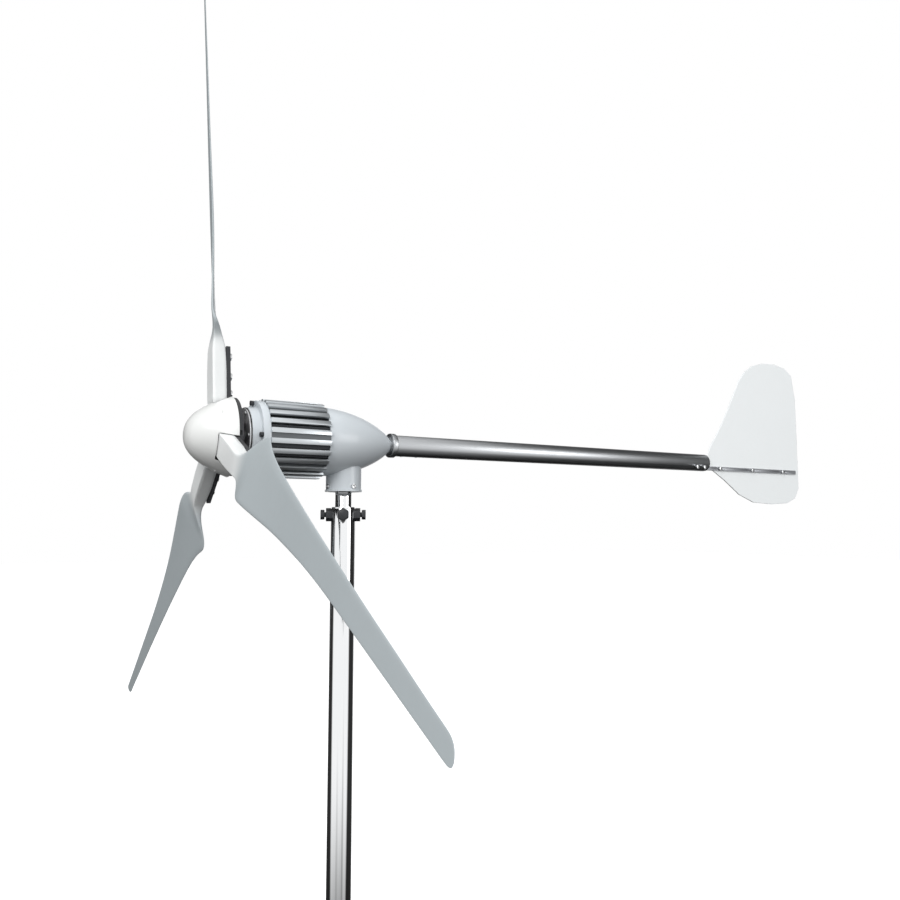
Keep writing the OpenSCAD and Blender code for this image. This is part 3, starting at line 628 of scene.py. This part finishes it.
# radius, leading and trailing distance from the pitch axis, half thickness, pitch, axis place
stations = [
    (0.110, 0.0220, 0.0220, 0.0130, 0, 0), (0.168, 0.0220, 0.0220, 0.0130, 0, 0),
    (0.180, 0.0220, 0.0222, 0.0128, 0.5, -0.0002), (0.191, 0.0232, 0.0256, 0.0120, 3, -0.0008),
    (0.202, 0.0330, 0.0340, 0.0108, 7.5, -0.0018), (0.2115, 0.0435, 0.0460, 0.0096, 11, -0.0026),
    (0.221, 0.0452, 0.0570, 0.0089, 14, -0.0034), (0.233, 0.0445, 0.0690, 0.0084, 16.6, -0.0044),
    (0.246, 0.0437, 0.0772, 0.0079, 16.8, -0.0050), (0.259, 0.0426, 0.0778, 0.0075, 16.4, -0.0051),
    (0.275, 0.0412, 0.0708, 0.0072, 15.8, -0.0051), (0.300, 0.0386, 0.0632, 0.0068, 14.9, -0.0052),
    (0.350, 0.0330, 0.0556, 0.0062, 13.2, -0.0053), (0.407, 0.0264, 0.0500, 0.0056, 11.2, -0.0054),
    (0.480, 0.0204, 0.0435, 0.0049, 9.9, -0.0066), (0.560, 0.0143, 0.0367, 0.0043, 9.7, -0.0085),
    (0.650, 0.0125, 0.0305, 0.0036, 9.6, -0.0107), (0.740, 0.0125, 0.0240, 0.0030, 9.4, -0.0128),
    (0.830, 0.0125, 0.0193, 0.0024, 9.3, -0.0150), (0.900, 0.0125, 0.0148, 0.0019, 9.1, -0.0167),
    (0.940, 0.0125, 0.0130, 0.0017, 9, -0.0176), (0.951, 0.0125, 0.0124, 0.0015, 9, -0.0179),
    (0.958, 0.0124, 0.0102, 0.0014, 9, -0.0181), (0.963, 0.0121, 0.0070, 0.0012, 9, -0.0182),
    (0.967, 0.0108, 0.0020, 0.0010, 9, -0.0183), (0.9695, 0.0080, -0.0034, 0.0006, 9, -0.0184)]


def foil_thickness(share):
    """Thickness of the foil along its chord, as a part of its greatest thickness."""
    curve = (0.2969 * share ** 0.5 - 0.126 * share - 0.3516 * share ** 2 + 0.2843 * share ** 3
             - 0.1015 * share ** 4)
    thinnest = 0.12 if share > 0.95 else 0.34
    return min(1.0, max(thinnest, 3.33 * curve))


def select_vertices(piece, test):
    """Selects the vertices that pass a test on their index and place."""
    cage = bmesh.from_edit_mesh(piece.data)
    for vert in cage.verts:
        vert.select = test(vert.index, vert.co)
    cage.select_flush_mode()
    bmesh.update_edit_mesh(piece.data)


bpy.ops.object.select_all(action="DESELECT")
bpy.ops.mesh.primitive_grid_add(x_subdivisions=1, y_subdivisions=columns, size=1,
                                location=(block_x, 0, shaft_z + root_start))
blade = bpy.context.object
blade.scale = (root_depth, root_width, 1)
bpy.ops.object.transform_apply(location=True, rotation=True, scale=True)
bpy.ops.object.mode_set(mode="EDIT")
bpy.ops.mesh.select_mode(type="VERT")
bpy.ops.mesh.select_all(action="SELECT")
before = (root_start, root_width / 2, root_width / 2, root_depth / 2, 0, 0)
for station in stations:
    radius, lead, trail, half, pitch, lean = station
    old_radius, old_lead, old_trail, old_half, old_pitch, old_lean = before
    axis = Vector((block_x + lean, 0, shaft_z + radius))
    old_middle, middle = (old_trail - old_lead) / 2, (trail - lead) / 2
    step = (lean - old_lean, 0, radius - old_radius)
    bpy.ops.mesh.extrude_region_move(TRANSFORM_OT_translate={"value": step})
    bpy.ops.transform.rotate(value=-math.radians(old_pitch), orient_axis="Z", center_override=axis)
    bpy.ops.transform.resize(value=(half / old_half, (lead + trail) / (old_lead + old_trail), 1),
                             center_override=(axis.x, old_middle, axis.z))
    bpy.ops.transform.translate(value=(0, middle - old_middle, 0))
    if shoulder_start < radius < foil_start:  # each of these stations thins the square block a little more
        cage = bmesh.from_edit_mesh(blade.data)
        places = {vert.index: vert.co.copy() for vert in cage.verts if vert.select}
        for column in range(columns + 1):
            share = column / columns
            line = -lead + (lead + trail) * share
            squeeze = foil_thickness(share) ** (1 / thinning_steps)
            select_vertices(blade, lambda i, co: i in places and abs(places[i].y - line) < 0.001)
            bpy.ops.transform.resize(value=(squeeze, 1, 1), center_override=(axis.x, line, axis.z))
        select_vertices(blade, lambda i, co: abs(co.z - axis.z) < 0.0004)
    bpy.ops.transform.rotate(value=math.radians(pitch), orient_axis="Z", center_override=axis)
    before = station
bpy.ops.mesh.select_mode(type="EDGE")
bpy.ops.mesh.select_all(action="DESELECT")
cage = bmesh.from_edit_mesh(blade.data)
for edge in cage.edges:
    ends = [vert.co for vert in edge.verts]
    on_corner = all(abs(abs(end.y) - root_width / 2) < 0.0002 for end in ends)
    at_foot = all(abs(end.z - shaft_z - root_start) < 0.0002 for end in ends)
    across = abs(ends[0].x - ends[1].x) > 0.01
    on_block = all(end.z < shaft_z + block_end for end in ends)
    edge.select = (on_corner and on_block and not across) or (at_foot and (on_corner or not across))
bmesh.update_edit_mesh(blade.data)
bpy.ops.transform.edge_crease(value=0.8)
bpy.ops.mesh.select_mode(type="FACE")
bpy.ops.mesh.select_all(action="SELECT")
bpy.ops.mesh.normals_make_consistent(inside=False)
bpy.ops.object.mode_set(mode="OBJECT")
skin = blade.modifiers.new("skin", "SUBSURF")
skin.levels = skin.render_levels = 2
bpy.ops.object.modifier_apply(modifier="skin")
bpy.ops.object.shade_smooth()

root_white = (0.82, 0.84, 0.84)
foil_grey = (0.44, 0.485, 0.505)
blade_grey = finish("blade_grey", foil_grey, 0.42, grain_scale=90, grain=0.06, relief=0.00005,
                    mottle=0.06, dust=0.02, wear=0.1, wear_color=(0.62, 0.64, 0.65))
color_by_radius(blade_grey, root_white, foil_grey, white_until, grey_from)

lift = Matrix.Translation((0, 0, shaft_z))
for i in range(3):
    piece = bpy.data.objects.new("blade", blade.data.copy())
    bpy.context.scene.collection.objects.link(piece)
    piece.data.transform(lift @ Matrix.Rotation(rotor_phase + i * 2 * math.pi / 3, 4, "X") @ lift.inverted())
    settle(piece, f"blade_{i + 1}_moulding", blade_grey, "rotor", f"blade_{i + 1}")
bpy.data.objects.remove(blade)
